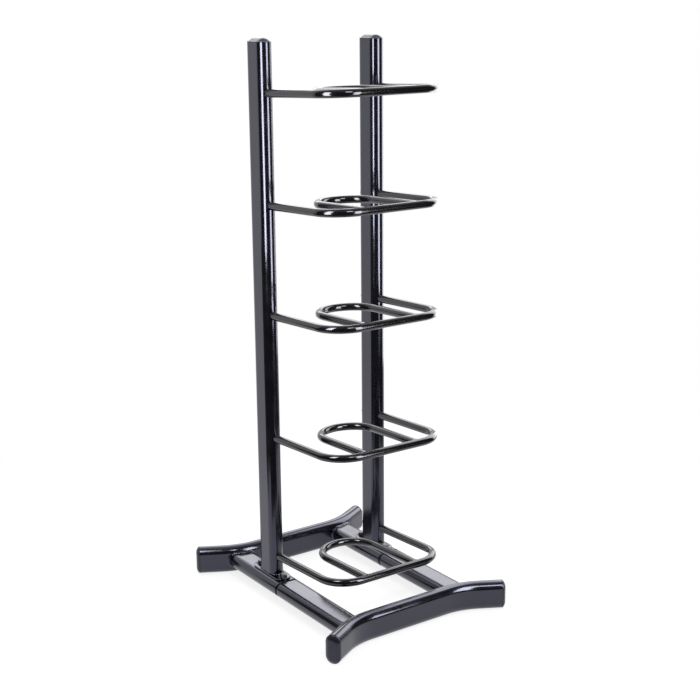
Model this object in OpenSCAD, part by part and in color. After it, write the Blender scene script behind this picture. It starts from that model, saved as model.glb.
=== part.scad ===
// Five-tier rack for medicine balls: two flat-oval uprights on a bolted base of two bowed feet,
// with five round-bar shelves reaching forward, each holding a ball ring.
// +Z is up, the front is -Y, and the origin is on the floor at the centre of the base.

/* [Flat-oval tube] */
// Short side of the flat-oval tube
tube_a = 40; // [30:1:50]
// Long side of the flat-oval tube
tube_b = 75; // [60:1:90]
// Wall thickness of the flat-oval tube
tube_wall = 2; // [1.5:0.1:3]

/* [Uprights] */
// Distance between the centre planes of the two uprights
upright_spacing = 333; // [280:1:420]
// Height of the open top end of the uprights above the floor
upright_top = 1433; // [1350:1:1750]
// Distance of the uprights behind the middle of the base
upright_y = 104; // [60:1:120]

/* [Shelves] */
// Outside diameter of the round shelf tube
bar_d = 20; // [16:0.5:25]
// Wall thickness of the round shelf tube
bar_wall = 2; // [1.5:0.1:3]
// Height of the lowest shelf at the uprights
first_shelf = 111; // [90:1:160]
// Steps in height from each shelf to the next one up
shelf_steps = [326, 323, 278, 273]; // [220:1:340]
// Upward tilt of the shelves towards the front, in degrees
shelf_tilt = 2.75; // [0:0.25:6]
// Distance from the uprights' centre plane to the centre of the front bar
shelf_reach = 311; // [280:1:380]
// Centre-line radius of the shelf's front corners
corner_r = 72; // [40:1:90]
// Centre-line radius of the ball ring's round rear end
ring_r = 77; // [60:1:90]
// Distance from the uprights' front to the rear of the ring's centre line
ring_gap = 18.5; // [14:0.5:60]

/* [Feet] */
// Distance between the centre lines of the two feet
foot_spacing = 546; // [480:1:620]
// Half of the straight middle of a foot
foot_straight = 118; // [90:1:125]
// Centre-line radius of the bends in a foot
foot_bend_r = 190; // [120:1:240]
// Angle of the splayed ends of a foot, in degrees
foot_angle = 29; // [10:1:40]
// Length of the straight splayed ends
foot_end = 60; // [30:1:100]

/* [Base joints] */
// How far the rail stub reaches past the base plate's front end
stub_margin = 3.5; // [2:0.5:40]
// Open joint between the stub and the front rail
joint_gap = 8; // [2:0.5:15]
// Length of the joiner sleeve inside the stub
joiner_rear = 46; // [30:1:50]
// Length of the joiner sleeve inside the front rail
joiner_front = 90; // [60:1:150]
// Wall thickness of the joiner sleeve
joiner_wall = 2.5; // [2:0.1:4]
// How far the base plate stands out on each side of the upright
plate_side = 3; // [2:0.5:10]
// Thickness of the base plate
plate_t = 5; // [4:0.5:10]
// Distance from the upright's face to the base plate bolts
plate_bolt_gap = 19.5; // [16:0.5:30]
// Distance from the base plate bolts to the base plate's ends
plate_end = 13; // [12:0.5:20]

/* [Fasteners] */
// Nominal diameter of the base plate bolts and the shelf bolts
bolt_d = 10; // [8:1:12]
// Distance across the flats of the base plate bolt heads and nuts
bolt_flats = 16; // [13:0.5:19]
// Height of the hexagon bolt heads
bolt_head_h = 6.4; // [5:0.1:8]
// Height of the nuts
nut_h = 8; // [6:0.5:10]
// Outside diameter of the washers
washer_d = 20; // [18:0.5:24]
// Thickness of the washers
washer_t = 2; // [1.5:0.1:3]
// Diameter of the domed heads of the shelf bolts
dome_d = 17.5; // [14:0.5:20]
// Height of the domed heads of the shelf bolts
dome_h = 5.5; // [4:0.5:7]
// Length of the threaded insert in each shelf arm
insert_l = 45; // [25:1:60]

/* [End caps] */
// Height of the cap's straight rim
cap_rim = 3; // [2:0.5:6]
// Height of the crown above the rim
cap_crown = 7; // [5:0.5:12]
// Depth of the cap's plug inside the tube
cap_plug = 18; // [10:1:25]
// Wall thickness of the cap's plug
cap_plug_wall = 2.5; // [2:0.1:4]

/* [Clearances] */
// Gap round bolts in their holes
hole_gap = 0.5; // [0.25:0.05:1]
// Gap round plugs, sleeves and inserts in their tubes
slip_gap = 0.25; // [0.1:0.05:0.5]
// Gap at curved ends that are cut to sit on another tube
cope_gap = 0.2; // [0.1:0.05:0.5]
// Throat of the weld beads
weld_size = 4; // [3:0.5:6]

/* [Hidden] */
$fn = 96;
shelf_count = len(shelf_steps) + 1;
tube_r = tube_a / 2;
upright_x = upright_spacing / 2;
upright_front = tube_b / 2;
bar_r = bar_d / 2;
foot_y = foot_spacing / 2;
// the feet stand on edge and the rails lie flat at the feet's mid-height
base_z = tube_b / 2;
rail_top = base_z + tube_a / 2;
rail_bottom = base_z - tube_a / 2;
rail_foot_y = foot_y + foot_bow(upright_x);
plate_w = tube_a + 2 * plate_side;
plate_bolt_y = upright_front + plate_bolt_gap;
plate_l = 2 * (plate_bolt_y + plate_end);
plate_top = rail_top + plate_t;
stub_end_y = upright_y - plate_l / 2 - stub_margin;
rail_end_y = stub_end_y - joint_gap;
joiner_bolt_y = rail_end_y - joiner_front / 2;
hole_d = bolt_d + 2 * hole_gap;
cap_bevel = cap_crown * 1.2;
cut = 1;
// the straight end of a foot starts a little way back inside the bend and is a hair slimmer than
// it, so that the two join as one tube
bend_overlap = 1;
bend_step = 0.02;
left = -1;
right = 1;
rear = 1;
front = -1;

// Height of a shelf at the uprights; shelf 1 is the lowest
function shelf_z(i) = i <= 1 ? first_shelf : shelf_z(i - 1) + shelf_steps[i - 2];

// How far a foot's centre line has bowed out, at a distance from the middle of the foot
function foot_bow(x) =
    let (run = max(x - foot_straight, 0), bend_run = foot_bend_r * sin(foot_angle))
    run < bend_run
        ? foot_bend_r - sqrt(foot_bend_r * foot_bend_r - run * run)
        : foot_bend_r * (1 - cos(foot_angle)) + (run - bend_run) * tan(foot_angle);

// ---- profiles and placing ----

// Flat-oval outline, a wide and b long, with its long side along Y
module flat_oval(a, b) {
    square([a, b - a], center = true);
    for (side = [-1, 1]) translate([0, side * (b - a) / 2]) circle(d = a);
}

// The tube's outline, moved in by an inset, with its long side along Y
module oval_inset(inset) {
    flat_oval(tube_a - 2 * inset, tube_b - 2 * inset);
}

// Places its children on an upright's axis, at floor height
module at_upright(side) {
    translate([side * upright_x, upright_y, 0]) children();
}

// Places its children in the tilted plane of a shelf, at the uprights' centre plane
module at_shelf(i) {
    translate([0, upright_y, shelf_z(i)]) rotate([-shelf_tilt, 0, 0]) children();
}

// Places its children at each shelf arm's axis
module at_each_arm() {
    for (i = [1 : shelf_count]) at_shelf(i)
        for (side = [left, right]) translate([side * upright_x, 0, 0]) children();
}

// ---- uprights ----

module upright_solid(side, inset) {
    at_upright(side) translate([0, 0, plate_top]) linear_extrude(upright_top - plate_top)
        oval_inset(inset);
}

module upright(side) {
    color("#1b1b20") difference() {
        upright_solid(side, 0);
        at_upright(side) translate([0, 0, plate_top - cut])
            linear_extrude(upright_top - plate_top + 2 * cut) oval_inset(tube_wall);
        for (i = [1 : shelf_count]) at_shelf(i) translate([side * upright_x, 0, 0])
            rotate([90, 0, 0]) cylinder(d = hole_d, h = 2 * tube_b, center = true);
    }
}

// ---- end caps ----

// Bevelled flat-oval block that narrows by an amount over its height
module bevelled_oval(height, narrowing) {
    for (side = [-1, 1]) translate([0, side * (tube_b - tube_a) / 2, 0])
        cylinder(r1 = tube_r, r2 = tube_r - narrowing, h = height);
    rotate([90, 0, 0]) linear_extrude(tube_b - tube_a, center = true)
        polygon([
            [-tube_r, 0], [tube_r, 0], [tube_r - narrowing, height], [narrowing - tube_r, height]
        ]);
}

// Cap with its rim at z = 0, its crown upwards and its hollow plug downwards
module end_cap() {
    color("#26262b") union() {
        linear_extrude(cap_rim) oval_inset(0);
        translate([0, 0, cap_rim]) bevelled_oval(cap_crown, cap_bevel);
        translate([0, 0, -cap_plug]) linear_extrude(cap_plug) difference() {
            oval_inset(tube_wall + slip_gap);
            oval_inset(tube_wall + slip_gap + cap_plug_wall);
        }
    }
}

module top_cap(side) {
    at_upright(side) translate([0, 0, upright_top]) end_cap();
}

// ---- feet ----

// Places its children at the end of a foot, with +Z pointing out along the tube
module at_foot_end(y_side, x_side) {
    end_x = foot_straight + foot_bend_r * sin(foot_angle) + foot_end * cos(foot_angle);
    end_y = foot_bend_r * (1 - cos(foot_angle)) + foot_end * sin(foot_angle);
    translate([0, y_side * foot_y, base_z]) mirror([x_side < 0 ? 1 : 0, 0, 0])
        mirror([0, y_side < 0 ? 1 : 0, 0]) translate([end_x, end_y, 0])
        rotate([0, 0, foot_angle]) rotate([90, 0, 90]) children();
}

// One half of a foot, bowed towards +Y on the +X side, from a cross-section with its long side
// upright
module half_foot_sweep(inset, overrun) {
    rotate([90, 0, 90]) linear_extrude(foot_straight) oval_inset(inset);
    translate([foot_straight, foot_bend_r, 0]) rotate([0, 0, -90])
        rotate_extrude(angle = foot_angle) translate([foot_bend_r, 0]) oval_inset(inset);
    translate([foot_straight + foot_bend_r * sin(foot_angle),
        foot_bend_r * (1 - cos(foot_angle)), 0])
        rotate([0, 0, foot_angle]) translate([-bend_overlap, 0, 0]) rotate([90, 0, 90])
        linear_extrude(bend_overlap + foot_end + overrun) oval_inset(inset + bend_step);
}

module foot_solid(y_side, inset, overrun) {
    translate([0, y_side * foot_y, base_z]) mirror([0, y_side < 0 ? 1 : 0, 0]) {
        half_foot_sweep(inset, overrun);
        mirror([1, 0, 0]) half_foot_sweep(inset, overrun);
    }
}

module foot(y_side) {
    color("#1b1b20") difference() {
        foot_solid(y_side, 0, 0);
        foot_solid(y_side, tube_wall, cut);
    }
}

module foot_cap(y_side, x_side) {
    at_foot_end(y_side, x_side) end_cap();
}

// ---- rails ----

// Flat-lying tube along Y between two places
module rail_run(side, y_from, y_to, inset) {
    translate([side * upright_x, y_to, base_z]) rotate([90, 90, 0])
        linear_extrude(y_to - y_from) oval_inset(inset);
}

// Vertical bores for the base plate bolts
module base_bolt_bores(side) {
    for (end = [-1, 1]) at_upright(side) translate([0, end * plate_bolt_y, 0])
        cylinder(d = hole_d, h = plate_top + cut);
}

// Vertical bore for the joint bolt, through the lower walls only
module joint_bolt_bore(side) {
    translate([side * upright_x, joiner_bolt_y, 0]) cylinder(d = hole_d, h = base_z);
}

module rail_stub(side) {
    color("#1b1b20") difference() {
        rail_run(side, stub_end_y, rail_foot_y, 0);
        rail_run(side, stub_end_y - cut, rail_foot_y + cut, tube_wall);
        foot_solid(rear, -cope_gap, 0);
        base_bolt_bores(side);
    }
}

module front_rail(side) {
    color("#1b1b20") difference() {
        rail_run(side, -rail_foot_y, rail_end_y, 0);
        rail_run(side, -rail_foot_y - cut, rail_end_y + cut, tube_wall);
        foot_solid(front, -cope_gap, 0);
        joint_bolt_bore(side);
    }
}

module rail_joiner(side) {
    y_from = rail_end_y - joiner_front;
    y_to = stub_end_y + joiner_rear;
    color("#0d0d0f") difference() {
        rail_run(side, y_from, y_to, tube_wall + slip_gap);
        rail_run(side, y_from - cut, y_to + cut, tube_wall + slip_gap + joiner_wall);
        base_bolt_bores(side);
        joint_bolt_bore(side);
    }
}

// ---- base plates ----

module base_plate(side) {
    color("#1b1b20") at_upright(side) translate([0, 0, rail_top]) linear_extrude(plate_t)
        difference() {
            flat_oval(plate_w, plate_l);
            for (end = [-1, 1]) translate([0, end * plate_bolt_y]) circle(d = hole_d);
        }
}

// ---- welds ----

// Bevelled bead round each upright where it stands on its base plate
module upright_welds() {
    color("#1b1b20") for (side = [left, right]) at_upright(side) translate([0, 0, plate_top])
        linear_extrude(weld_size / 2) difference() {
            oval_inset(-weld_size / 2);
            oval_inset(-cope_gap);
        }
}

// Beads round both rails where they meet a foot
module foot_welds(y_side) {
    y_from = y_side > 0 ? rail_foot_y - tube_b : -rail_foot_y;
    color("#1b1b20") for (side = [left, right]) difference() {
        intersection() {
            rail_run(side, y_from, y_from + tube_b, -weld_size);
            foot_solid(y_side, -weld_size, 0);
        }
        rail_run(side, y_from - cut, y_from + tube_b + cut, -cope_gap);
        foot_solid(y_side, -cope_gap, 0);
    }
}

// Collars where the rings' arms meet the front bars
module ball_ring_welds() {
    color("#1b1b20") for (i = [1 : shelf_count]) at_shelf(i)
        for (side = [-1, 1]) difference() {
            translate([side * ring_r, -shelf_reach, 0]) intersection() {
                rotate([-90, 0, 0]) cylinder(r = bar_r + weld_size / 2, h = bar_d);
                rotate([0, 90, 0]) cylinder(r = bar_r + weld_size / 2, h = 2 * bar_d, center = true);
            }
            translate([side * ring_r, -shelf_reach, 0]) rotate([-90, 0, 0])
                cylinder(r = bar_r + cope_gap, h = 2 * bar_d);
            translate([side * ring_r, -shelf_reach, 0]) rotate([0, 90, 0])
                cylinder(r = bar_r + cope_gap, h = 4 * bar_d, center = true);
        }
}

// ---- base fasteners ----

// Places its children at each base plate bolt, at floor height
module at_base_bolts() {
    for (side = [left, right]) for (end = [-1, 1]) at_upright(side)
        translate([0, end * plate_bolt_y, 0]) children();
}

module hex_prism(height, flats) {
    cylinder(d = flats / cos(30), h = height, $fn = 6);
}

// Hexagon bolt with its head's underside at z = 0 and its shank downwards
module hex_bolt(length, flats) {
    hex_prism(bolt_head_h, flats);
    translate([0, 0, -length]) cylinder(d = bolt_d, h = length);
}

module washer(thickness) {
    linear_extrude(thickness) difference() {
        circle(d = washer_d);
        circle(d = hole_d);
    }
}

module nut() {
    difference() {
        hex_prism(nut_h, bolt_flats);
        translate([0, 0, -cut]) cylinder(d = bolt_d, h = nut_h + 2 * cut);
    }
}

module base_plate_bolts() {
    grip = plate_top + washer_t - rail_bottom;
    color("#3a3a3f") at_base_bolts() translate([0, 0, plate_top + washer_t])
        hex_bolt(grip + washer_t + nut_h, bolt_flats);
}

module base_plate_washers() {
    color("#3a3a3f") at_base_bolts() {
        translate([0, 0, plate_top]) washer(washer_t);
        translate([0, 0, rail_bottom - washer_t]) washer(washer_t);
    }
}

module base_plate_nuts() {
    color("#3a3a3f") at_base_bolts() translate([0, 0, rail_bottom - washer_t - nut_h]) nut();
}

// Places its children at each rail joint bolt, at the rail's underside and pointing down
module at_joint_bolts() {
    for (side = [left, right]) translate([side * upright_x, joiner_bolt_y, rail_bottom])
        mirror([0, 0, 1]) children();
}

module rail_joint_bolts() {
    color("#3a3a3f") at_joint_bolts() translate([0, 0, washer_t])
        hex_bolt(washer_t + tube_wall + slip_gap + joiner_wall + nut_h, bolt_flats);
}

module rail_joint_washers() {
    color("#3a3a3f") at_joint_bolts() washer(washer_t);
}

// Nuts welded inside the joiner sleeves
module rail_joint_nuts() {
    color("#3a3a3f") at_joint_bolts()
        translate([0, 0, -tube_wall - slip_gap - joiner_wall - nut_h]) nut();
}

// ---- shelves ----

// Bar along -Y from one place to another, in the shelf's own plane
module bar_y(x, y_from, y_to, r) {
    translate([x, y_from, 0]) rotate([90, 0, 0]) cylinder(r = r, h = y_from - y_to);
}

// Solid loop: two arms, two corners and the front bar
module loop_solid(r) {
    inner_x = upright_x - corner_r;
    corner_y = corner_r - shelf_reach;
    for (side = [left, right]) {
        bar_y(side * upright_x, 0, corner_y, r);
        mirror([side < 0 ? 1 : 0, 0, 0]) translate([inner_x, corner_y, 0]) rotate([0, 0, -90])
            rotate_extrude(angle = 90) translate([corner_r, 0]) circle(r = r);
    }
    translate([-inner_x, -shelf_reach, 0]) rotate([0, 90, 0]) cylinder(r = r, h = 2 * inner_x);
}

module shelf_loop(i) {
    color("#151519") difference() {
        at_shelf(i) loop_solid(bar_r);
        at_shelf(i) loop_solid(bar_r - bar_wall);
        for (side = [left, right]) at_upright(side) translate([0, 0, plate_top])
            linear_extrude(upright_top) oval_inset(-cope_gap);
    }
}

// Solid ball ring: two arms and a half-round rear end
module ring_solid(r) {
    rear_y = -upright_front - ring_gap - ring_r;
    for (side = [left, right]) bar_y(side * ring_r, rear_y, -shelf_reach, r);
    translate([0, rear_y, 0]) rotate_extrude(angle = 180) translate([ring_r, 0]) circle(r = r);
}

module ball_ring(i) {
    color("#151519") at_shelf(i) difference() {
        ring_solid(bar_r);
        ring_solid(bar_r - bar_wall);
        translate([0, -shelf_reach, 0]) rotate([0, 90, 0])
            cylinder(r = bar_r + cope_gap, h = 4 * ring_r, center = true);
    }
}

// Threaded plugs in the ends of the arms
module shelf_inserts() {
    color("#77777c") at_each_arm() rotate([90, 0, 0])
        translate([0, 0, upright_front + bar_r / 2]) difference() {
            cylinder(r = bar_r - bar_wall - slip_gap, h = insert_l);
            translate([0, 0, -cut]) cylinder(d = bolt_d, h = insert_l + 2 * cut);
        }
}

// Domed head on a flat base, its base at z = 0
module dome_head() {
    dome_r = (dome_d * dome_d / 4 + dome_h * dome_h) / (2 * dome_h);
    intersection() {
        translate([0, 0, dome_h - dome_r]) sphere(r = dome_r);
        cylinder(d = dome_d, h = dome_h);
    }
}

module shelf_bolts() {
    shank = 2 * upright_front + washer_t + insert_l / 2;
    color("#3a3a3f") at_each_arm() translate([0, upright_front + washer_t, 0]) rotate([-90, 0, 0]) {
        dome_head();
        translate([0, 0, -shank]) cylinder(d = bolt_d, h = shank);
    }
}

// Washers with one hollow side that sit on the round backs of the uprights
module shelf_washers() {
    color("#3a3a3f") difference() {
        at_each_arm() rotate([-90, 0, 0]) difference() {
            cylinder(d = washer_d, h = upright_front + washer_t);
            translate([0, 0, -cut]) cylinder(d = hole_d, h = upright_front + washer_t + 2 * cut);
        }
        for (side = [left, right]) at_upright(side) linear_extrude(upright_top)
            oval_inset(-cope_gap);
    }
}

upright(left);  // left_upright
upright(right);  // right_upright
top_cap(left);  // left_top_cap
top_cap(right);  // right_top_cap
base_plate(left);  // left_base_plate
base_plate(right);  // right_base_plate
upright_welds();
foot(rear);  // rear_foot
foot(front);  // front_foot
foot_cap(rear, left);  // rear_foot_left_cap
foot_cap(rear, right);  // rear_foot_right_cap
foot_cap(front, left);  // front_foot_left_cap
foot_cap(front, right);  // front_foot_right_cap
rail_stub(left);  // left_rail_stub
rail_stub(right);  // right_rail_stub
front_rail(left);  // left_front_rail
front_rail(right);  // right_front_rail
rail_joiner(left);  // left_rail_joiner
rail_joiner(right);  // right_rail_joiner
foot_welds(rear);  // rear_foot_welds
foot_welds(front);  // front_foot_welds
base_plate_bolts();
base_plate_washers();
base_plate_nuts();
rail_joint_bolts();
rail_joint_washers();
rail_joint_nuts();
shelf_loop(1);  // shelf_1_loop
shelf_loop(2);  // shelf_2_loop
shelf_loop(3);  // shelf_3_loop
shelf_loop(4);  // shelf_4_loop
shelf_loop(5);  // shelf_5_loop
ball_ring(1);  // shelf_1_ball_ring
ball_ring(2);  // shelf_2_ball_ring
ball_ring(3);  // shelf_3_ball_ring
ball_ring(4);  // shelf_4_ball_ring
ball_ring(5);  // shelf_5_ball_ring
ball_ring_welds();
shelf_inserts();
shelf_bolts();
shelf_washers();
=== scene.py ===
import math

import bmesh
import bpy
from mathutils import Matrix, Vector


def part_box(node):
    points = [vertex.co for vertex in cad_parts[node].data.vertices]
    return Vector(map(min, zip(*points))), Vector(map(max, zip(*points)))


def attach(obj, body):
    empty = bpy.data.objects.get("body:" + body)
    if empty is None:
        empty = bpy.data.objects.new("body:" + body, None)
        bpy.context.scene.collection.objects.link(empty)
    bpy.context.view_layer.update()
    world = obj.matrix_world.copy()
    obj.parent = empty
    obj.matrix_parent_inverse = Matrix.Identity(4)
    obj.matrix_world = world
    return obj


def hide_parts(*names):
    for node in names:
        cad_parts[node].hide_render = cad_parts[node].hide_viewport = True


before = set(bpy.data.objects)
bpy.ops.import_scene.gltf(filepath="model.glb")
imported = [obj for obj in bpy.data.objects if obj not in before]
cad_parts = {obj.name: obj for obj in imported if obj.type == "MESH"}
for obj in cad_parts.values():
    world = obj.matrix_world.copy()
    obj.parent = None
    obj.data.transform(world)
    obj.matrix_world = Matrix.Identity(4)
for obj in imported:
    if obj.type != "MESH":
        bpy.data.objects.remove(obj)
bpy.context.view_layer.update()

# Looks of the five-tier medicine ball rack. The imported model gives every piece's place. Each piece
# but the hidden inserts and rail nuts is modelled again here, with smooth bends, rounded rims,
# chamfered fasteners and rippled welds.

MM = 0.001
BODY = "root"
LEFT, RIGHT = -1, 1
FRONT, REAR = -1, 1
SIDE_NAMES = {LEFT: "left", RIGHT: "right"}
SHELVES = range(1, 6)


def middle(node):
    low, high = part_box(node)
    return (low + high) / 2


def extent(node):
    low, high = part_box(node)
    return high - low


# ---- sizes read from the frame ----

TUBE_A = extent("left_upright").x
TUBE_B = extent("left_upright").y
TUBE_R = TUBE_A / 2
FLAT_HALF = (TUBE_B - TUBE_A) / 2
UPRIGHT_X = middle("right_upright").x
UPRIGHT_Y = middle("right_upright").y
UPRIGHT_FRONT = TUBE_B / 2
UPRIGHT_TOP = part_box("left_upright")[1].z
PLATE_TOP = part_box("left_upright")[0].z
BASE_Z = middle("front_foot").z
FOOT_Y = TUBE_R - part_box("front_foot")[1].y
RAIL_TOP = BASE_Z + TUBE_R
RAIL_BOTTOM = BASE_Z - TUBE_R
STUB_END_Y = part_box("left_rail_stub")[0].y
RAIL_END_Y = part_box("left_front_rail")[1].y
BAR_R = extent("shelf_1_loop").x / 2 - UPRIGHT_X
RING_R = extent("shelf_1_ball_ring").x / 2 - BAR_R
PLATE_W = extent("left_base_plate").x
PLATE_L = extent("left_base_plate").y
CAP_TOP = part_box("left_top_cap")[1].z - UPRIGHT_TOP
WASHER_D = extent("rail_joint_washers").y
WASHER_T = extent("rail_joint_washers").z
JOINT_BOLT_Y = middle("rail_joint_bolts").y
PLATE_BOLT_Y = (extent("base_plate_washers").y - WASHER_D) / 2
HEAD_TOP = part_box("base_plate_bolts")[1].z
HEAD_H = HEAD_TOP - PLATE_TOP - WASHER_T
NUT_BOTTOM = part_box("base_plate_nuts")[0].z
NUT_H = RAIL_BOTTOM - WASHER_T - NUT_BOTTOM

# ---- the rack's sizes that no node's box gives ----

TUBE_WALL = 2 * MM
BAR_WALL = 2 * MM
COPE_GAP = 0.2 * MM
SLIP_GAP = 0.25 * MM
JOINER_WALL = 2.5 * MM
SHELF_TILT = math.radians(2.75)
CORNER_R = 72 * MM
FOOT_STRAIGHT = 118 * MM
FOOT_BEND_R = 190 * MM
FOOT_ANGLE = math.radians(29)
FOOT_END = 60 * MM
BOLT_D = 10 * MM
BOLT_FLATS = 16 * MM
HOLE_D = 11 * MM
DOME_D = 17.5 * MM
DOME_H = 5.5 * MM
SOCKET_FLATS = 6 * MM
SOCKET_DEPTH = 2.8 * MM
THREAD_PITCH = 1.5 * MM
THREAD_DEPTH = 0.8 * MM
THREAD_LENGTH = 7 * MM
PLUG_DEPTH = 18 * MM
TOP_CAP = {"rim": 1.6 * MM, "crown_inset": 18 * MM, "power": 1.2}
FOOT_CAP = {"rim": 3.2 * MM, "crown_inset": 14 * MM, "power": 0.75}

# ---- how finely the surfaces are cut ----

ROUND_STEPS = 28
BAR_STEPS = 48
BEND_STEP = math.radians(3)
SUPPORT = 2 * MM
RIM = 0.5 * MM
SHARP = math.radians(38)


# ======== mesh building ========


def link_mesh(name, points, faces):
    mesh = bpy.data.meshes.new(name)
    mesh.from_pydata(points, [], faces)
    shape = bmesh.new()
    shape.from_mesh(mesh)
    bmesh.ops.recalc_face_normals(shape, faces=shape.faces)
    shape.to_mesh(mesh)
    shape.free()
    mesh.polygons.foreach_set("use_smooth", [True] * len(mesh.polygons))
    mesh.set_sharp_from_angle(angle=SHARP)
    piece = bpy.data.objects.new(name, mesh)
    bpy.context.scene.collection.objects.link(piece)
    return piece


class Solids:
    """Gathers closed surfaces and turns them into one piece that stands for a CAD node"""

    def __init__(self):
        self.points = []
        self.faces = []

    def add(self, rows, loop=False):
        """Closed surface through rows of points; a looped one also joins its last row to its first"""
        start = len(self.points)
        across = len(rows[0])
        for row in rows:
            self.points.extend(tuple(point) for point in row)
        for r in range(len(rows) if loop else len(rows) - 1):
            here = start + r * across
            there = start + (r + 1) % len(rows) * across
            for c in range(across):
                d = (c + 1) % across
                self.faces.append((here + c, here + d, there + d, there + c))
        if not loop:
            self.faces.append(tuple(range(start, start + across)))
            last = start + (len(rows) - 1) * across
            self.faces.append(tuple(range(last, last + across)))

    def piece(self, node, material, slot):
        made = link_mesh(f"{node}_finished", self.points, self.faces)
        made.data.materials.append(material)
        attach(made, BODY)
        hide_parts(node)


def flat_oval(a, b, inset=0.0):
    """Flat-oval outline, a wide and b long, with its long side along v"""
    radius = a / 2 - inset
    half = (b - a) / 2
    points = []
    for end in (1, -1):
        for k in range(ROUND_STEPS + 1):
            angle = math.pi * k / ROUND_STEPS
            points.append((end * radius * math.cos(angle), end * (half + radius * math.sin(angle))))
        for share in (-1, 1):
            points.append((-end * radius, -end * share * (half - SUPPORT)))
    return points


def tube_outline(inset=0.0):
    return flat_oval(TUBE_A, TUBE_B, inset)


def bar_outline(inset=0.0):
    radius = BAR_R - inset
    turn = 2 * math.pi / BAR_STEPS
    return [(radius * math.cos(turn * k), radius * math.sin(turn * k)) for k in range(BAR_STEPS)]


def quarter_turn(steps):
    return [math.pi / 2 * k / steps for k in range(steps + 1)]


def rim_steps(wall):
    """Rounded rim from the outside to the inside of a wall, as pairs of inset and distance back"""
    outer = [(RIM * (1 - math.cos(a)), RIM * (1 - math.sin(a))) for a in quarter_turn(3)]
    return outer + [(wall - inset, back) for inset, back in reversed(outer)]


def hollow_rows(outline, wall, stations, place):
    """Rows for a looped surface: along the outside of a tube and back along its inside. place puts
    an outline's point at a station, moved a distance back from the tube's end"""
    rims = rim_steps(wall)
    first, last = stations[0], stations[-1]
    rows = [[place(u, v, first, back) for u, v in outline(inset)] for inset, back in reversed(rims)]
    rows += [[place(u, v, s, 0) for u, v in outline(0)] for s in stations[1:-1]]
    rows += [[place(u, v, last, -back) for u, v in outline(inset)] for inset, back in rims]
    rows += [[place(u, v, s, 0) for u, v in outline(wall)] for s in reversed(stations[1:-1])]
    return rows


def walk(x, y, heading, moves):
    """Stations of a plan path, as (x, y, heading). Each move is a length and the angle it turns by"""
    stations = [(x, y, heading)]
    for length, turn in moves:
        if turn == 0:
            marks = [0, SUPPORT, length - SUPPORT, length]
            spans = [(b - a, 0) for a, b in zip(marks, marks[1:])]
        else:
            steps = math.ceil(abs(turn) / BEND_STEP)
            chord = 2 * length / abs(turn) * math.sin(abs(turn) / steps / 2)
            spans = [(chord, turn / steps)] * steps
        for span, part in spans:
            x += span * math.cos(heading + part / 2)
            y += span * math.sin(heading + part / 2)
            heading += part
            stations.append((x, y, heading))
    return stations


def on_path(station, across, along):
    """Plan point beside a station: to the left of its heading, and along it"""
    x, y, heading = station
    return (
        x - across * math.sin(heading) + along * math.cos(heading),
        y + across * math.cos(heading) + along * math.sin(heading),
    )


# ======== places ========


class Shelf:
    """The tilted plane of one shelf; its own y runs back and a little down"""

    def __init__(self, number):
        low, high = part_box(f"shelf_{number}_loop")
        self.reach = (UPRIGHT_Y - low.y - BAR_R) / math.cos(SHELF_TILT)
        self.z = high.z - BAR_R - self.reach * math.sin(SHELF_TILT)
        ring_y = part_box(f"shelf_{number}_ball_ring")[1].y - BAR_R
        self.ring_back = (UPRIGHT_Y - ring_y) / math.cos(SHELF_TILT)

    def point(self, x, y, z):
        return Vector((
            x,
            UPRIGHT_Y + y * math.cos(SHELF_TILT) + z * math.sin(SHELF_TILT),
            self.z - y * math.sin(SHELF_TILT) + z * math.cos(SHELF_TILT),
        ))

    def upright_face(self, x, z, side):
        """Own y of the upright's rounded front (side -1) or back (side 1), across x from its middle"""
        depth = FLAT_HALF + math.sqrt((TUBE_R + COPE_GAP) ** 2 - x * x)
        return (side * depth - z * math.sin(SHELF_TILT)) / math.cos(SHELF_TILT)


def foot_half_width(z):
    """Half of a foot's thickness at a height"""
    rise = max(abs(z - BASE_Z) - FLAT_HALF, 0)
    return math.sqrt(max(TUBE_R ** 2 - rise ** 2, 0))


def foot_inner_y(x, z, gap=0.0):
    """Distance from the middle of the base to a foot's inner side"""
    run = max(abs(x) - FOOT_STRAIGHT, 0)
    radius = FOOT_BEND_R + foot_half_width(z) + gap
    return FOOT_Y + FOOT_BEND_R - math.sqrt(radius ** 2 - run ** 2)


# ======== frame tubes ========


def upright(side):
    stations = [PLATE_TOP, PLATE_TOP + SUPPORT, UPRIGHT_TOP - SUPPORT, UPRIGHT_TOP]

    def place(u, v, z, shift):
        return side * UPRIGHT_X + u, UPRIGHT_Y + v, z + shift

    tube = Solids()
    tube.add(hollow_rows(tube_outline, TUBE_WALL, stations, place), loop=True)
    tube.piece(f"{SIDE_NAMES[side]}_upright", FRAME_COAT, "frame_metal")


def foot_path():
    """Path of the rear foot from its left end to its right one"""
    end_x = FOOT_STRAIGHT + FOOT_BEND_R * math.sin(FOOT_ANGLE) + FOOT_END * math.cos(FOOT_ANGLE)
    end_y = FOOT_BEND_R * (1 - math.cos(FOOT_ANGLE)) + FOOT_END * math.sin(FOOT_ANGLE)
    bend = FOOT_BEND_R * FOOT_ANGLE
    moves = [
        (FOOT_END, 0), (bend, FOOT_ANGLE), (2 * FOOT_STRAIGHT, 0), (bend, FOOT_ANGLE), (FOOT_END, 0)
    ]
    return walk(-end_x, FOOT_Y + end_y, -FOOT_ANGLE, moves)


def foot(y_side):
    def place(u, v, station, shift):
        x, y = on_path(station, u, shift)
        return x, y_side * y, BASE_Z + v

    tube = Solids()
    tube.add(hollow_rows(tube_outline, TUBE_WALL, foot_path(), place), loop=True)
    tube.piece("front_foot" if y_side < 0 else "rear_foot", FRAME_COAT, "frame_metal")


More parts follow.
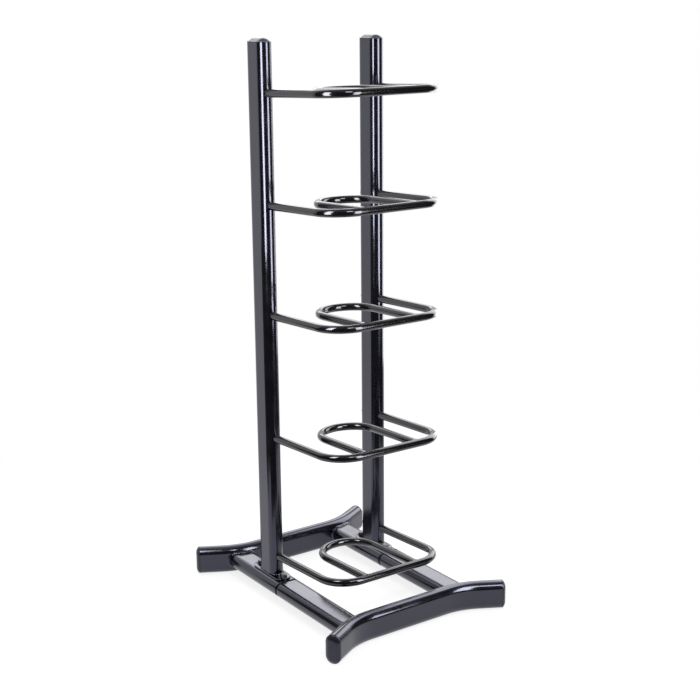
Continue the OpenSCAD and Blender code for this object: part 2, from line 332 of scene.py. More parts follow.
def rail(node, side, y_side, open_end):
    """Flat-lying tube from an open end to the inner side of a foot. Its last station is cut to the
    foot's curve, and the one before it is a plain section just short of that"""

    def place(u, v, station, shift):
        y = station
        if station == "foot":
            y = y_side * foot_inner_y(side * UPRIGHT_X + v, BASE_Z + u, -COPE_GAP)
        elif station == "near foot":
            y = y_side * (FOOT_Y - TUBE_R - 2 * SUPPORT)
        return side * UPRIGHT_X + v, y + y_side * shift, BASE_Z + u

    stations = [open_end, open_end + y_side * SUPPORT, "near foot", "foot"]
    tube = Solids()
    tube.add(hollow_rows(tube_outline, TUBE_WALL, stations, place), loop=True)
    tube.piece(node, FRAME_COAT, "frame_metal")


def joiner(side):
    node = f"{SIDE_NAMES[side]}_rail_joiner"
    low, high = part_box(node)
    inset = TUBE_WALL + SLIP_GAP

    def outline(more):
        return tube_outline(inset + more)

    def place(u, v, y, shift):
        return side * UPRIGHT_X + v, y + shift, BASE_Z + u

    stations = [low.y, low.y + SUPPORT, high.y - SUPPORT, high.y]
    sleeve = Solids()
    sleeve.add(hollow_rows(outline, JOINER_WALL, stations, place), loop=True)
    sleeve.piece(node, JOINER_COAT, "joiner_metal")


def base_plate(side):
    thickness = extent("left_base_plate").z
    edge = 1.0 * MM
    rounding = [(edge * (1 - math.sin(a)), edge * (1 - math.cos(a))) for a in quarter_turn(4)]
    levels = rounding + [(inset, thickness - height) for inset, height in reversed(rounding)]
    plate = Solids()
    plate.add([
        [
            (side * UPRIGHT_X + u, UPRIGHT_Y + v, RAIL_TOP + height)
            for u, v in flat_oval(PLATE_W, PLATE_L, inset)
        ]
        for inset, height in levels
    ])
    plate.piece(f"{SIDE_NAMES[side]}_base_plate", FRAME_COAT, "frame_metal")


# ======== end caps ========


def cap_profile(rim, crown_inset, power):
    """Pairs of inset and height up a moulded cap: its rounded rim, a shallow groove and a low crown.
    A power under 1 fills the crown out at its edge, and one over 1 slims it"""
    groove = 0.4 * MM
    soft = 0.15 * MM
    steps = 14
    profile = [(4 * soft, 0.0), (soft, 0.8 * soft), (0.0, 3 * soft)]
    profile += [(0.0, rim - groove), (soft, rim - 0.1 * MM), (groove, rim)]
    for k in range(1, steps + 1):
        share = k / steps
        profile.append((
            groove + (crown_inset - groove) * share,
            rim + (CAP_TOP - rim) * math.sin(math.pi / 2 * share) ** power,
        ))
    return profile


def cap_plug_profile():
    """Pairs of inset and height up the part that sits inside the tube, with a tapered lead-in"""
    inset = TUBE_WALL + SLIP_GAP
    return [(inset + 1.2 * MM, -PLUG_DEPTH), (inset, -PLUG_DEPTH + 2 * MM), (inset, 0.0)]


def end_cap(node, place, shape):
    profile = cap_plug_profile() + cap_profile(**shape)
    cap = Solids()
    cap.add([[place(u, v, height) for u, v in tube_outline(inset)] for inset, height in profile])
    cap.piece(node, CAP_PLASTIC, "cap_plastic")


def top_cap(side):
    def place(u, v, height):
        return side * UPRIGHT_X + u, UPRIGHT_Y + v, UPRIGHT_TOP + height

    end_cap(f"{SIDE_NAMES[side]}_top_cap", place, TOP_CAP)


def foot_cap(y_side, x_side):
    end = foot_path()[-1]

    def place(u, v, height):
        x, y = on_path(end, u, height)
        return x_side * x, y_side * y, BASE_Z + v

    foot_name = "front_foot" if y_side < 0 else "rear_foot"
    end_cap(f"{foot_name}_{SIDE_NAMES[x_side]}_cap", place, FOOT_CAP)


# ======== shelves ========


def shelf_loop(number):
    shelf = Shelf(number)
    inner = UPRIGHT_X - CORNER_R
    start = -UPRIGHT_FRONT
    arm = shelf.reach - CORNER_R + start
    corner = CORNER_R * math.pi / 2
    moves = [(arm, 0), (corner, math.pi / 2), (2 * inner, 0), (corner, math.pi / 2), (arm, 0)]
    path = walk(-UPRIGHT_X, start, -math.pi / 2, moves)
    ends = {path[0], path[-1]}

    def place(u, v, station, shift):
        x, y = on_path(station, u, shift)
        if station in ends:
            y = shelf.upright_face(u, v, -1) - abs(shift)
        return shelf.point(x, y, v)

    loop = Solids()
    loop.add(hollow_rows(bar_outline, BAR_WALL, path, place), loop=True)
    loop.piece(f"shelf_{number}_loop", SHELF_COAT, "shelf_metal")


def ball_ring(number):
    shelf = Shelf(number)
    rear_y = -shelf.ring_back - RING_R
    arm = shelf.reach + rear_y
    moves = [(arm, 0), (math.pi * RING_R, math.pi), (arm, 0)]
    path = walk(RING_R, -shelf.reach, math.pi / 2, moves)
    ends = {path[0], path[-1]}

    def place(u, v, station, shift):
        x, y = on_path(station, u, shift)
        if station in ends:
            y = abs(shift) - shelf.reach + math.sqrt((BAR_R + COPE_GAP) ** 2 - v * v)
        return shelf.point(x, y, v)

    ring = Solids()
    ring.add(hollow_rows(bar_outline, BAR_WALL, path, place), loop=True)
    ring.piece(f"shelf_{number}_ball_ring", SHELF_COAT, "shelf_metal")


# ======== welds ========

RIPPLE = 4.4 * MM
RIPPLE_LAG = 1.6 * MM
BEAD_STEP = 0.75 * MM
BEAD_SPAN = 8
BEAD_ROOT = 0.3 * MM
BEAD_TOE = 0.2 * MM
UPRIGHT_BEAD = 2.6 * MM
FOOT_BEAD = 3.6 * MM
RING_BEAD = 2.4 * MM


def bead_swell(run):
    """Slow change of a hand-laid bead's size along it"""
    long_wave = math.sin(2 * math.pi * run / (37 * MM) + 1)
    short_wave = math.sin(2 * math.pi * run / (23 * MM))
    return 1 + 0.05 * long_wave + 0.07 * short_wave


def bead_reach(angle, run):
    """Share of its size that a bead reaches at an angle across it: bulged, with arched ripples"""
    chord = 1 / (math.cos(angle) + math.sin(angle))
    bulge = 1 + 0.22 * math.sin(2 * angle)
    lag = run + RIPPLE_LAG * math.cos(2 * angle) ** 2
    crest = math.sqrt(1 - (2 * (lag / RIPPLE % 1) - 1) ** 2)
    return chord * bulge * (0.86 + 0.17 * crest)


def bead_rows(seam, size, taper=False):
    """Rows round a rippled fillet bead. seam holds (point, first wall's normal, second wall's normal)
    at even steps, and the bead reaches about its size along each wall"""
    rows = []
    run = 0.0
    for k, (point, wall_a, wall_b) in enumerate(seam):
        if k:
            run += (point - seam[k - 1][0]).length
        along_b = (wall_a - wall_b * wall_a.dot(wall_b)).normalized()
        along_a = (wall_b - wall_a * wall_a.dot(wall_b)).normalized()
        swell = bead_swell(run)
        if taper:
            swell *= min(1.0, 0.25 + 2.2 * math.sin(math.pi * k / (len(seam) - 1)))
        row = [point - (along_a + along_b) * BEAD_ROOT]
        for angle in quarter_turn(BEAD_SPAN):
            reach = size * swell * bead_reach(angle, run)
            row.append(
                point + along_a * (reach * math.cos(angle) - BEAD_TOE * math.sin(angle))
                + along_b * (reach * math.sin(angle) - BEAD_TOE * math.cos(angle))
            )
        rows.append(row)
    return rows


def walk_outline(outline, step):
    """Points at even steps round a closed outline, with their outward normals"""
    spans = list(zip(outline, outline[1:] + outline[:1]))
    lengths = [math.dist(a, b) for a, b in spans]
    total = sum(lengths)
    count = round(total / step)
    found = []
    k, passed = 0, 0.0
    for n in range(count):
        goal = total * n / count
        while passed + lengths[k] < goal:
            passed += lengths[k]
            k += 1
        (u0, v0), (u1, v1) = spans[k]
        share = (goal - passed) / max(lengths[k], 1e-9)
        found.append((u0 + (u1 - u0) * share, v0 + (v1 - v0) * share))
    normals = []
    for u, v in found:
        over = max(abs(v) - FLAT_HALF, 0) * (1 if v > 0 else -1)
        normals.append(Vector((u, over)).normalized())
    return list(zip(found, normals))


def upright_welds():
    beads = Solids()
    for side in (LEFT, RIGHT):
        seam = [
            (
                Vector((side * UPRIGHT_X + u, UPRIGHT_Y + v, PLATE_TOP)),
                Vector((normal.x, normal.y, 0)),
                Vector((0, 0, 1)),
            )
            for (u, v), normal in walk_outline(tube_outline(), BEAD_STEP)
        ]
        beads.add(bead_rows(seam, UPRIGHT_BEAD), loop=True)
    beads.piece("upright_welds", FRAME_COAT, "frame_metal")


def foot_welds(y_side):
    nudge = 0.5 * MM
    beads = Solids()
    for side in (LEFT, RIGHT):
        seam = []
        for (u, v), normal in walk_outline(tube_outline(), BEAD_STEP):
            x, z = side * UPRIGHT_X + v, BASE_Z + u
            slope_x = (foot_inner_y(x + nudge, z) - foot_inner_y(x - nudge, z)) / (2 * nudge)
            slope_z = (foot_inner_y(x, z + nudge) - foot_inner_y(x, z - nudge)) / (2 * nudge)
            seam.append((
                Vector((x, y_side * foot_inner_y(x, z), z)),
                Vector((normal.y, 0, normal.x)),
                Vector((slope_x, -y_side, slope_z)).normalized(),
            ))
        beads.add(bead_rows(seam, FOOT_BEAD), loop=True)
    beads.piece("front_foot_welds" if y_side < 0 else "rear_foot_welds", FRAME_COAT, "frame_metal")


def ring_weld_seam(shelf, x, half):
    """Seam down one side of the joint between a ring's arm and the front bar"""
    seam = []
    steps = 34
    reach_angle = math.radians(74)
    for k in range(steps + 1):
        angle = reach_angle * (2 * k / steps - 1)
        across, up = math.cos(angle), math.sin(angle)
        origin = shelf.point(0, 0, 0)
        seam.append((
            shelf.point(x + half * BAR_R * across, -shelf.reach + BAR_R * across, BAR_R * up),
            shelf.point(half * across, 0, up) - origin,
            shelf.point(0, across, up) - origin,
        ))
    return seam


def ball_ring_welds():
    beads = Solids()
    for number in SHELVES:
        shelf = Shelf(number)
        for side in (LEFT, RIGHT):
            for half in (-1, 1):
                seam = ring_weld_seam(shelf, side * RING_R, half)
                beads.add(bead_rows(seam, RING_BEAD, taper=True))
    beads.piece("ball_ring_welds", SHELF_COAT, "shelf_metal")


# ======== fasteners ========

HEX_STEPS = 72
HEX_FACE = BOLT_FLATS / 2 * 0.96
CHAMFER = math.tan(math.radians(30))
SOFT = 0.35 * MM
UNDERHEAD = 0.2 * MM


def hex_radius(angle, flats):
    """Distance from the middle of a hexagon to its side"""
    return flats / 2 / math.cos((angle + math.pi / 6) % (math.pi / 3) - math.pi / 6)


def bolt_side(angle):
    return hex_radius(angle, BOLT_FLATS)


def corner_fall(angle):
    """How far a hexagon's 30-degree chamfer has fallen at its side"""
    return (bolt_side(angle) - HEX_FACE) * CHAMFER


def ring_row(radius, height):
    """Row of (x, y, height) on a circle, or on a shape whose radius and height follow the angle"""
    row = []
    for k in range(HEX_STEPS):
        angle = 2 * math.pi * k / HEX_STEPS
        r = radius(angle) if callable(radius) else radius
        z = height(angle) if callable(height) else height
        row.append((r * math.cos(angle), r * math.sin(angle), z))
    return row


def placed(rows, put):
    return [[put(*point) for point in row] for row in rows]


def hex_head_rows(height):
    """Bolt head on a round washer face, with chamfered corners and a shallow dished top"""
    step = 0.4 * MM

    def corner(angle):
        return height - corner_fall(angle)

    return [
        ring_row(HEX_FACE, 0.0), ring_row(HEX_FACE, step),
        ring_row(bolt_side, step), ring_row(bolt_side, corner),
        ring_row(HEX_FACE, height), ring_row(HEX_FACE * 0.8, height),
        ring_row(HEX_FACE * 0.72, height - step / 2),
    ]


def hex_nut_rows(height):
    """Looped rows of a nut, chamfered on both faces, with countersunk ends to its bore"""
    bore = BOLT_D / 2
    sink = 0.8 * MM

    def top(angle):
        return height - corner_fall(angle)

    return [
        ring_row(bore, sink), ring_row(bore + sink, 0.0), ring_row(HEX_FACE, 0.0),
        ring_row(bolt_side, corner_fall), ring_row(bolt_side, top), ring_row(HEX_FACE, height),
        ring_row(bore + sink, height), ring_row(bore, height - sink),
    ]


def washer_rows():
    """Looped rows of a flat washer with softened edges"""
    outer, bore = WASHER_D / 2, HOLE_D / 2
    return [
        ring_row(bore, SOFT), ring_row(bore + SOFT, 0.0),
        ring_row(outer - SOFT, 0.0), ring_row(outer, SOFT),
        ring_row(outer, WASHER_T - SOFT), ring_row(outer - SOFT, WASHER_T),
        ring_row(bore + SOFT, WASHER_T), ring_row(bore, WASHER_T - SOFT),
    ]


def shank_rows(length):
    """Plain shank from just inside a bolt's head down to a threaded, chamfered tip. The thread's
    first row has no groove yet, so it ends the plain part"""
    thread_top = UNDERHEAD - length + THREAD_LENGTH
    rows = [ring_row(BOLT_D / 2, UNDERHEAD)]
    steps = round(THREAD_LENGTH / THREAD_PITCH * 8)
    for k in range(steps + 1):
        drop = THREAD_LENGTH * k / steps
        groove = THREAD_DEPTH * min(1.0, drop / THREAD_PITCH)
        chamfer = max(0.0, drop - THREAD_LENGTH + MM) * 0.8

        def radius(angle, drop=drop, groove=groove, chamfer=chamfer):
            phase = (drop / THREAD_PITCH + angle / (2 * math.pi)) % 1
            return BOLT_D / 2 - groove * (1 - abs(2 * phase - 1)) - chamfer

        rows.append(ring_row(radius, thread_top - drop))
    return rows


def at_base_bolts(z):
    """Functions that put a point at each base plate bolt, each turned by its own angle"""
    for side in (LEFT, RIGHT):
        for end in (FRONT, REAR):
            turn = 0.4 * side + 0.9 * end
            yield lambda x, y, h, side=side, end=end, turn=turn: (
                side * UPRIGHT_X + x * math.cos(turn) - y * math.sin(turn),
                UPRIGHT_Y + end * PLATE_BOLT_Y + x * math.sin(turn) + y * math.cos(turn),
                z + h,
            )


def at_joint_bolts(depth):
    """Functions that put a point at each rail joint bolt, pointing down from the rail's underside"""
    for side in (LEFT, RIGHT):
        yield lambda x, y, h, side=side: (
            side * UPRIGHT_X + x, JOINT_BOLT_Y - y, RAIL_BOTTOM - depth - h
        )


def base_fasteners():
    bolts, washers, nuts = Solids(), Solids(), Solids()
    grip = PLATE_TOP + WASHER_T - NUT_BOTTOM
    for put in at_base_bolts(PLATE_TOP + WASHER_T):
        bolts.add(placed(hex_head_rows(HEAD_H), put))
        bolts.add(placed(shank_rows(grip + UNDERHEAD), put))
    for z in (PLATE_TOP, RAIL_BOTTOM - WASHER_T):
        for put in at_base_bolts(z):
            washers.add(placed(washer_rows(), put), loop=True)
    for put in at_base_bolts(NUT_BOTTOM):
        nuts.add(placed(hex_nut_rows(NUT_H), put), loop=True)
    bolts.piece("base_plate_bolts", BLACK_ZINC, "fastener_metal")
    washers.piece("base_plate_washers", BLACK_ZINC, "fastener_metal")
    nuts.piece("base_plate_nuts", BLACK_ZINC, "fastener_metal")


def joint_fasteners():
    bolts, washers = Solids(), Solids()
    low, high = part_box("rail_joint_bolts")
    head_h = RAIL_BOTTOM - WASHER_T - low.z
    for put in at_joint_bolts(WASHER_T):
        bolts.add(placed(hex_head_rows(head_h), put))
        bolts.add(placed(shank_rows(high.z - low.z - head_h), put))
    for put in at_joint_bolts(0):
        washers.add(placed(washer_rows(), put), loop=True)
    bolts.piece("rail_joint_bolts", BLACK_ZINC, "fastener_metal")
    washers.piece("rail_joint_washers", BLACK_ZINC, "fastener_metal")


def dome_rows():
    """Domed head with a thin straight edge and a hexagon socket"""
    radius = DOME_D / 2
    edge = 0.9 * MM
    soft = 0.4 * MM
    mouth = SOCKET_FLATS / 2 * 1.3
    steps = 9
    sphere = (radius ** 2 + (DOME_H - edge) ** 2) / (2 * (DOME_H - edge))

    def dome(r):
        return DOME_H - sphere + math.sqrt(sphere ** 2 - r ** 2)

    def socket(angle):
        return hex_radius(angle, SOCKET_FLATS)

    rows = [ring_row(radius - soft, 0.0), ring_row(radius, soft), ring_row(radius, edge)]
    for k in range(1, steps + 1):
        r = radius + (mouth - radius) * k / steps
        rows.append(ring_row(r, dome(r)))
    lip = dome(mouth)
    rows += [ring_row(socket, lip - 0.25 * MM), ring_row(socket, lip - SOCKET_DEPTH)]
    return rows


def curved_washer_rows(shelf, side, put):
    """Looped rows of a washer whose inner side follows the round back of the upright"""
    outer, bore = WASHER_D / 2, HOLE_D / 2

    def hollow(radius, back):
        return [
            shelf.point(side * UPRIGHT_X + x, shelf.upright_face(x, z, 1) + back, z)
            for x, z, _ in ring_row(radius, 0.0)
        ]

    seat_side = [
        ring_row(outer, -SOFT), ring_row(outer - SOFT, 0.0),
        ring_row(bore + SOFT, 0.0), ring_row(bore, -SOFT),
    ]
    return [
        hollow(bore, SOFT), hollow(bore + SOFT, 0), hollow(outer - SOFT, 0), hollow(outer, SOFT),
        *placed(seat_side, put),
    ]


def shelf_fasteners():
    bolts, washers = Solids(), Solids()
    bolt_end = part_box("shelf_bolts")[1].y - UPRIGHT_Y
    seat = UPRIGHT_FRONT + WASHER_T
    length = extent("shelf_bolts").y / math.cos(SHELF_TILT) - (bolt_end - seat)
    for number in SHELVES:
        shelf = Shelf(number)
        for side in (LEFT, RIGHT):

            def put(x, z, y, shelf=shelf, side=side):
                return shelf.point(side * UPRIGHT_X + x, seat + y, z)

            bolts.add(placed(dome_rows(), put))
            bolts.add(placed(shank_rows(length), put))
            washers.add(curved_washer_rows(shelf, side, put), loop=True)
    bolts.piece("shelf_bolts", BLACK_ZINC, "fastener_metal")
    washers.piece("shelf_washers", BLACK_ZINC, "fastener_metal")


# ======== materials ========


def grey(level, blue=1.0):
    return level, level, level * blue, 1.0


class Surface:
    """A Principled material whose colour, roughness and relief come from procedural nodes"""

    def __init__(self, name):
        self.material = bpy.data.materials.new(name)
        self.material.use_nodes = True
        self.tree = self.material.node_tree
        self.shader = self.tree.nodes["Principled BSDF"]
        self.place = self.tree.nodes.new("ShaderNodeTexCoord").outputs["Object"]
        self.height = None

    def node(self, kind, inputs=(), **settings):
        made = self.tree.nodes.new(kind)
        for name, value in settings.items():
            setattr(made, name, value)
        for name, value in dict(inputs).items():
            self.feed(made.inputs[name], value)
        return made

    def noise(self, size, detail=2.0, roughness=0.5):
        """Noise between 0 and 1 whose features are about a size across"""
        made = self.node(
            "ShaderNodeTexNoise",
            {"Vector": self.place, "Scale": 1 / size, "Detail": detail, "Roughness": roughness},
        )
        return made.outputs["Fac"]

    def remap(self, value, low, high, to_low, to_high):
        made = self.node(
            "ShaderNodeMapRange",
            {"Value": value, "From Min": low, "From Max": high, "To Min": to_low, "To Max": to_high},
        )
        return made.outputs["Result"]

    def feed(self, socket, value):
        """Links another socket's value into a socket, or sets a constant on it"""
        if isinstance(value, bpy.types.NodeSocket):
            self.tree.links.new(value, socket)
        else:
            socket.default_value = value

    def math(self, operation, a, b):
        made = self.node("ShaderNodeMath", operation=operation)
        for socket, value in zip(made.inputs, (a, b)):
            self.feed(socket, value)
        return made.outputs[0]

    def blend(self, share, first, second):
        made = self.node("ShaderNodeMix", data_type="RGBA")
        sockets = {socket.identifier: socket for socket in made.inputs}
        self.feed(sockets["Factor_Float"], share)
        self.feed(sockets["A_Color"], first)
        self.feed(sockets["B_Color"], second)
        return next(s for s in made.outputs if s.identifier == "Result_Color")

    def relief(self, height, depth):
        """Adds fine relief of a real depth, in metres"""
        inputs = {"Height": height, "Distance": depth, "Strength": 1.0}
        if self.height:
            inputs["Normal"] = self.height
        self.height = self.node("ShaderNodeBump", inputs).outputs["Normal"]

    def finish(self, colour, roughness, **constants):
        """Links the colour, roughness and relief to the shader and sets constants on its own sockets"""
        for name, value in (("Base Color", colour), ("Roughness", roughness)):
            self.tree.links.new(value, self.shader.inputs[name])
        if self.height:
            self.tree.links.new(self.height, self.shader.inputs["Normal"])
        for name, value in constants.items():
            self.shader.inputs[name.replace("_", " ")].default_value = value
        return self.material


MOST_DUST = 0.05
DUST_COLOUR = grey(0.35)


def upward(surface):
    """0 on walls and undersides, 1 on surfaces that face up"""
    normal = surface.node("ShaderNodeNewGeometry").outputs["Normal"]
    height = surface.node("ShaderNodeSeparateXYZ", {"Vector": normal}).outputs["Z"]
    return surface.remap(height, 0.75, 1.0, 0.0, 1.0)


def powder_coat(name, dark, light, roughness, ior, tint, peel):
    """Powder coat with cloudy gloss, a trace of dust on what faces up, and fine orange peel whose
    depth is peel"""
    coat = Surface(name)
    cloud = coat.noise(45 * MM, 3)
    speck = coat.noise(1.1 * MM, 2)
    shade = coat.blend(coat.remap(cloud, 0.35, 0.65, 0, 1), dark, light)
    dust = coat.math("MULTIPLY", upward(coat), coat.remap(speck, 0.52, 0.78, 0.0, MOST_DUST))
    colour = coat.blend(dust, shade, DUST_COLOUR)
    gloss = coat.remap(cloud, 0.3, 0.7, roughness * 0.8, roughness * 1.25)
    gloss = coat.math("ADD", gloss, coat.math("MULTIPLY", dust, 0.8))
    coat.relief(coat.noise(3.2 * MM, 1), peel)
    return coat.finish(colour, gloss, IOR=ior, Specular_Tint=tint)


def moulded_plastic(name):
    """Black moulded plastic with a fine spark-eroded texture"""
    plastic = Surface(name)
    cloud = plastic.noise(18 * MM, 3)
    grain = plastic.noise(0.45 * MM, 3, 0.65)
    colour = plastic.blend(plastic.remap(cloud, 0.35, 0.65, 0, 1), grey(0.012, 1.6), grey(0.02, 1.6))
    gloss = plastic.remap(grain, 0.3, 0.7, 0.24, 0.38)
    plastic.relief(grain, 0.02 * MM)
    return plastic.finish(colour, gloss, IOR=1.52, Specular_Tint=(0.8, 0.84, 1.0, 1.0))


def zinc(name, dark, light, roughness):
    """Zinc plating with cloudy passivation and fine streaks, seven times as wide as they are high"""
    metal = Surface(name)
    cloud = metal.noise(6 * MM, 4)
    stretched = metal.node(
        "ShaderNodeMapping", {"Vector": metal.place, "Scale": (1.0, 1.0, 7.0)}
    ).outputs["Vector"]
    streak = metal.node(
        "ShaderNodeTexNoise", {"Vector": stretched, "Scale": 1 / (1.2 * MM), "Detail": 3.0}
    ).outputs["Fac"]
    colour = metal.blend(metal.remap(cloud, 0.3, 0.7, 0, 1), dark, light)
    gloss = metal.remap(streak, 0.3, 0.7, roughness * 0.75, roughness * 1.3)
    metal.relief(streak, 0.006 * MM)
    return metal.finish(colour, gloss, Metallic=0.9)


# The frame's gloss is lavender, and the shelves' nearly neutral
FRAME_COAT = powder_coat(
    "frame_powder_coat", dark=grey(0.004, 1.4), light=grey(0.007, 1.4),
    roughness=0.15, ior=1.7, tint=(0.76, 0.77, 1.0, 1.0), peel=0.0012 * MM,
)
SHELF_COAT = powder_coat(
    "shelf_powder_coat", dark=grey(0.004, 1.2), light=grey(0.007, 1.2),
    roughness=0.12, ior=1.6, tint=(0.92, 0.91, 1.0, 1.0), peel=0.00084 * MM,
)
JOINER_COAT = powder_coat(
    "joiner_satin_coat", dark=grey(0.004), light=grey(0.006),
    roughness=0.4, ior=1.45, tint=(0.9, 0.9, 1.0, 1.0), peel=0.0012 * MM,
)
CAP_PLASTIC = moulded_plastic("cap_moulded_plastic")
BLACK_ZINC = zinc("black_zinc", dark=grey(0.05, 1.1), light=grey(0.13, 1.1), roughness=0.28)
BRIGHT_ZINC = zinc("bright_zinc", dark=grey(0.4, 1.05), light=grey(0.62, 1.05), roughness=0.25)


# ======== the rack ========


def build_rack():
    for side in (LEFT, RIGHT):
        name = SIDE_NAMES[side]
        upright(side)
        top_cap(side)
        base_plate(side)
        rail(f"{name}_rail_stub", side, REAR, STUB_END_Y)
        rail(f"{name}_front_rail", side, FRONT, RAIL_END_Y)
        joiner(side)
    for y_side in (FRONT, REAR):
        foot(y_side)
        foot_welds(y_side)
        for x_side in (LEFT, RIGHT):
            foot_cap(y_side, x_side)
    upright_welds()
    for number in SHELVES:
        shelf_loop(number)
        ball_ring(number)
    ball_ring_welds()
    base_fasteners()
    joint_fasteners()
    shelf_fasteners()
    for name in ("shelf_inserts", "rail_joint_nuts"):
        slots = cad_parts[name].data.materials
        slots.clear()
        slots.append(BRIGHT_ZINC)


# ======== studio: metres, with the rack's uprights in the middle ========

WORLD_FILL = 0.5
FLOOR_RADIUS = 9.0
FLOOR_COLOUR = grey(0.8)
SHADOWED_COLOUR = grey(0.42)
SHADOWED_GLOW = 0.8
FADE_FROM = 0.9
FADE_TO = 1.6
FLAG_DISTANCE = 4.2
FLAG_TOP = 4.5
FLAG_LIFT = 0.003
BLACK_CLOTH = 0.06
GREY_CLOTH = 0.3
SIDE_CLOTH = 0.1


def white_share(tree):
    """1 for what the camera, a mirror or glass sees, 0 for the light that falls on things"""
    path = tree.nodes.new("ShaderNodeLightPath")
    total = path.outputs["Is Camera Ray"]
    for name in ("Is Glossy Ray", "Is Transmission Ray"):
        most = tree.nodes.new("ShaderNodeMath")
        most.operation = "MAXIMUM"
        tree.links.new(total, most.inputs[0])
        tree.links.new(path.outputs[name], most.inputs[1])
        total = most.outputs[0]
    return total


def studio_world():
    """White where it is seen, and a weaker fill as light"""
    world = bpy.data.worlds.new("studio")
    bpy.context.scene.world = world
    world.use_nodes = True
    tree = world.node_tree
    strength = tree.nodes.new("ShaderNodeMapRange")
    strength.inputs["To Min"].default_value = WORLD_FILL
    strength.inputs["To Max"].default_value = 1.0
    tree.links.new(white_share(tree), strength.inputs["Value"])
    background = tree.nodes["Background"]
    background.inputs["Color"].default_value = (1, 1, 1, 1)
    tree.links.new(strength.outputs["Result"], background.inputs["Strength"])


def bare_material(name):
    """Material with only its output node"""
    material = bpy.data.materials.new(name)
    material.use_nodes = True
    tree = material.node_tree
    tree.nodes.remove(tree.nodes["Principled BSDF"])
    return material, tree, tree.nodes["Material Output"].inputs["Surface"]


def coloured(tree, kind, colour):
    made = tree.nodes.new(kind)
    made.inputs["Color"].default_value = colour
    return made


def mix_shaders(tree, share, first, second):
    mix = tree.nodes.new("ShaderNodeMixShader")
    tree.links.new(share, mix.inputs[0])
    tree.links.new(first.outputs[0], mix.inputs[1])
    tree.links.new(second.outputs[0], mix.inputs[2])
    return mix


def floor_material():
    """Plain diffuse as light. As seen, it holds the rack's shadow and fades to white further out"""
    material, tree, surface = bare_material("white_floor")
    diffuse = coloured(tree, "ShaderNodeBsdfDiffuse", FLOOR_COLOUR)
    shadowed = coloured(tree, "ShaderNodeBsdfDiffuse", SHADOWED_COLOUR)
    glow = tree.nodes.new("ShaderNodeEmission")
    glow.inputs["Strength"].default_value = SHADOWED_GLOW
    both = tree.nodes.new("ShaderNodeAddShader")
    tree.links.new(shadowed.outputs[0], both.inputs[0])
    tree.links.new(glow.outputs[0], both.inputs[1])
    white = tree.nodes.new("ShaderNodeEmission")
    place = tree.nodes.new("ShaderNodeTexCoord")
    distance = tree.nodes.new("ShaderNodeVectorMath")
    distance.operation = "LENGTH"
    tree.links.new(place.outputs["Object"], distance.inputs[0])
    far = tree.nodes.new("ShaderNodeMapRange")
    far.interpolation_type = "SMOOTHSTEP"
    far.inputs["From Min"].default_value = FADE_FROM
    far.inputs["From Max"].default_value = FADE_TO
    tree.links.new(distance.outputs["Value"], far.inputs["Value"])
    seen = mix_shaders(tree, far.outputs["Result"], both, white)
    mix = mix_shaders(tree, white_share(tree), diffuse, seen)
    tree.links.new(mix.outputs[0], surface)
    return material


def studio_floor():
    """Round floor round the origin"""
    steps = 96
    rings = [0.6, 1.2, 2.4, FLOOR_RADIUS]
    points = [(0.0, 0.0, 0.0)]
    for r in rings:
        for k in range(steps):
            angle = 2 * math.pi * k / steps
            points.append((r * math.cos(angle), r * math.sin(angle), 0.0))
    faces = [(0, 1 + k, 1 + (k + 1) % steps) for k in range(steps)]
    for n in range(len(rings) - 1):
        inner, outer = 1 + n * steps, 1 + (n + 1) * steps
        for k in range(steps):
            after = (k + 1) % steps
            faces.append((inner + k, outer + k, outer + after, inner + after))
    floor = link_mesh("studio_floor", points, faces)
    floor.data.materials.append(floor_material())


def softbox(name, place, heights, width, radiance, lights_matt=True):
    """Upright softbox at a place (x, y), from one height to another, that faces the uprights. The
    camera never sees it. Without lights_matt it shows in gloss but lights no matt surface"""
    x, y = place
    low, high = heights
    light = bpy.data.lights.new(name, "AREA")
    light.shape = "RECTANGLE"
    light.size = width
    light.size_y = high - low
    light.energy = radiance * math.pi * width * (high - low)
    lamp = bpy.data.objects.new(name, light)
    lamp.location = (x, y, (low + high) / 2)
    lamp.rotation_euler = (math.radians(90), 0, math.atan2(x, UPRIGHT_Y - y))
    lamp.visible_camera = False
    lamp.visible_diffuse = lights_matt
    bpy.context.scene.collection.objects.link(lamp)


def flag(name, rows, level):
    """Cloth through rows of points that only reflections see, where it hides the white studio
    behind it. Its level runs from 0, black, to 1, white"""
    points = [tuple(point) for row in rows for point in row]
    across = len(rows[0])
    faces = [
        (r * across + c, r * across + c + 1, (r + 1) * across + c + 1, (r + 1) * across + c)
        for r in range(len(rows) - 1) for c in range(across - 1)
    ]
    cloth = link_mesh(name, points, faces)
    material, tree, surface = bare_material(name)
    glow = coloured(tree, "ShaderNodeEmission", grey(level))
    tree.links.new(glow.outputs[0], surface)
    cloth.data.materials.append(material)
    for kind in ("camera", "diffuse", "transmission", "volume_scatter", "shadow"):
        setattr(cloth, f"visible_{kind}", False)


def around(azimuth, distance, height):
    """Point round the uprights. Azimuth 0 is straight in front and 90 is to the right"""
    angle = math.radians(azimuth)
    return Vector((distance * math.sin(angle), UPRIGHT_Y - distance * math.cos(angle), height))


def wall_flag(name, azimuths, heights, level):
    flag(name, [[around(a, FLAG_DISTANCE, z) for a in azimuths] for z in heights], level)


def level_flag(name, azimuths, distances, height, level):
    flag(name, [[around(a, r, height) for a in azimuths] for r in distances], level)


def floor_flag(name, azimuths, inner):
    level_flag(name, azimuths, (inner, 2.0, FLAG_DISTANCE), FLAG_LIFT, BLACK_CLOTH)


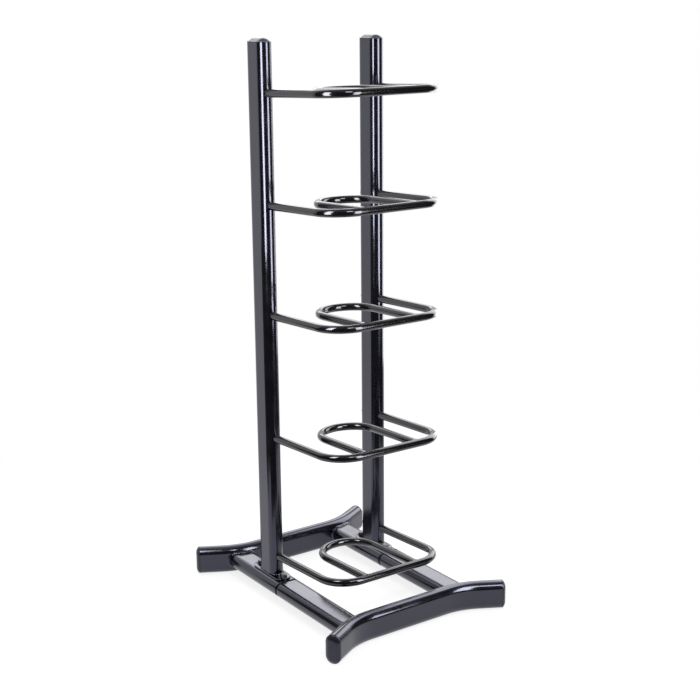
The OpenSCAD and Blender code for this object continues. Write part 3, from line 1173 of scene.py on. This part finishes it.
def softboxes():
    """Two strips and a side box that show only in gloss, and three boxes that light everything"""
    softbox("left_strip", (-0.70, -0.24), (0.80, 1.75), 0.24, radiance=18.0, lights_matt=False)
    softbox("front_strip", (0.40, -1.40), (0.40, 1.75), 0.56, radiance=13.0, lights_matt=False)
    softbox("right_softbox", (1.20, 0.17), (0.30, 2.2), 0.9, radiance=3.5, lights_matt=False)
    softbox("rear_softbox", (3.0, 5.3), (2.3, 4.9), 4.6, radiance=2.6)
    softbox("high_rear_softbox", (2.3, 5.9), (4.9, 9.0), 6.8, radiance=1.3)
    softbox("key_softbox", (-0.25, -2.3), (2.4, 3.5), 0.9, radiance=12.0)


def flags():
    """Dark cloths in front, overhead, on the far floor and beside the left upright"""
    front = range(-124, 80, 3)
    wall_flag("front_flag", front, (0.0, 1.2, 2.4, FLAG_TOP), BLACK_CLOTH)
    level_flag("ceiling_flag", front, (0.02, 1.5, 2.8, FLAG_DISTANCE), FLAG_TOP, GREY_CLOTH)
    floor_flag("left_floor_flag", range(-124, -70, 3), inner=1.15)
    floor_flag("front_floor_flag", range(-73, 9, 3), inner=0.72)
    floor_flag("right_floor_flag", range(8, 80, 3), inner=1.15)
    flag("left_flag", [[Vector((-0.8, y, z)) for y in (0.30, 0.86)] for z in (0.02, 0.8)], SIDE_CLOTH)


# ======== camera ========


CAMERA_AZIMUTH = -34.9
CAMERA_ELEVATION = 14.776
CAMERA_ROLL = -0.498
CAMERA_DISTANCE = 3.5586
TARGET_HEIGHT = 0.7107
SHIFT_RIGHT = 0.076256
SHIFT_UP = -0.068105
SENSOR_WIDTH = 36.0
FOCAL_LENGTH = 70.19


def camera():
    """Camera turned round the uprights, with a small roll, and moved a little in its own plane so
    that the rack sits off the middle of the picture"""
    azimuth = math.radians(CAMERA_AZIMUTH)
    elevation = math.radians(CAMERA_ELEVATION)
    roll = math.radians(CAMERA_ROLL)
    back = Vector((
        math.sin(azimuth) * math.cos(elevation),
        -math.cos(azimuth) * math.cos(elevation),
        math.sin(elevation),
    ))
    level = Vector((math.cos(azimuth), math.sin(azimuth), 0))
    upright_up = back.cross(level)
    right = level * math.cos(roll) + upright_up * math.sin(roll)
    up = upright_up * math.cos(roll) - level * math.sin(roll)
    data = bpy.data.cameras.new("camera")
    data.sensor_width = SENSOR_WIDTH
    data.lens = FOCAL_LENGTH
    data.clip_start = 0.05
    data.clip_end = 60.0
    view = bpy.data.objects.new("camera", data)
    rotation = view.matrix_world.to_3x3()
    for row in range(3):
        rotation[row] = (right[row], up[row], back[row])
    view.matrix_world = rotation.to_4x4()
    target = Vector((0, UPRIGHT_Y, TARGET_HEIGHT))
    view.location = target + back * CAMERA_DISTANCE + right * SHIFT_RIGHT + up * SHIFT_UP
    bpy.context.scene.collection.objects.link(view)
    bpy.context.scene.camera = view


build_rack()
studio_world()
studio_floor()
softboxes()
flags()
camera()
bpy.context.scene.view_settings.view_transform = "Standard"
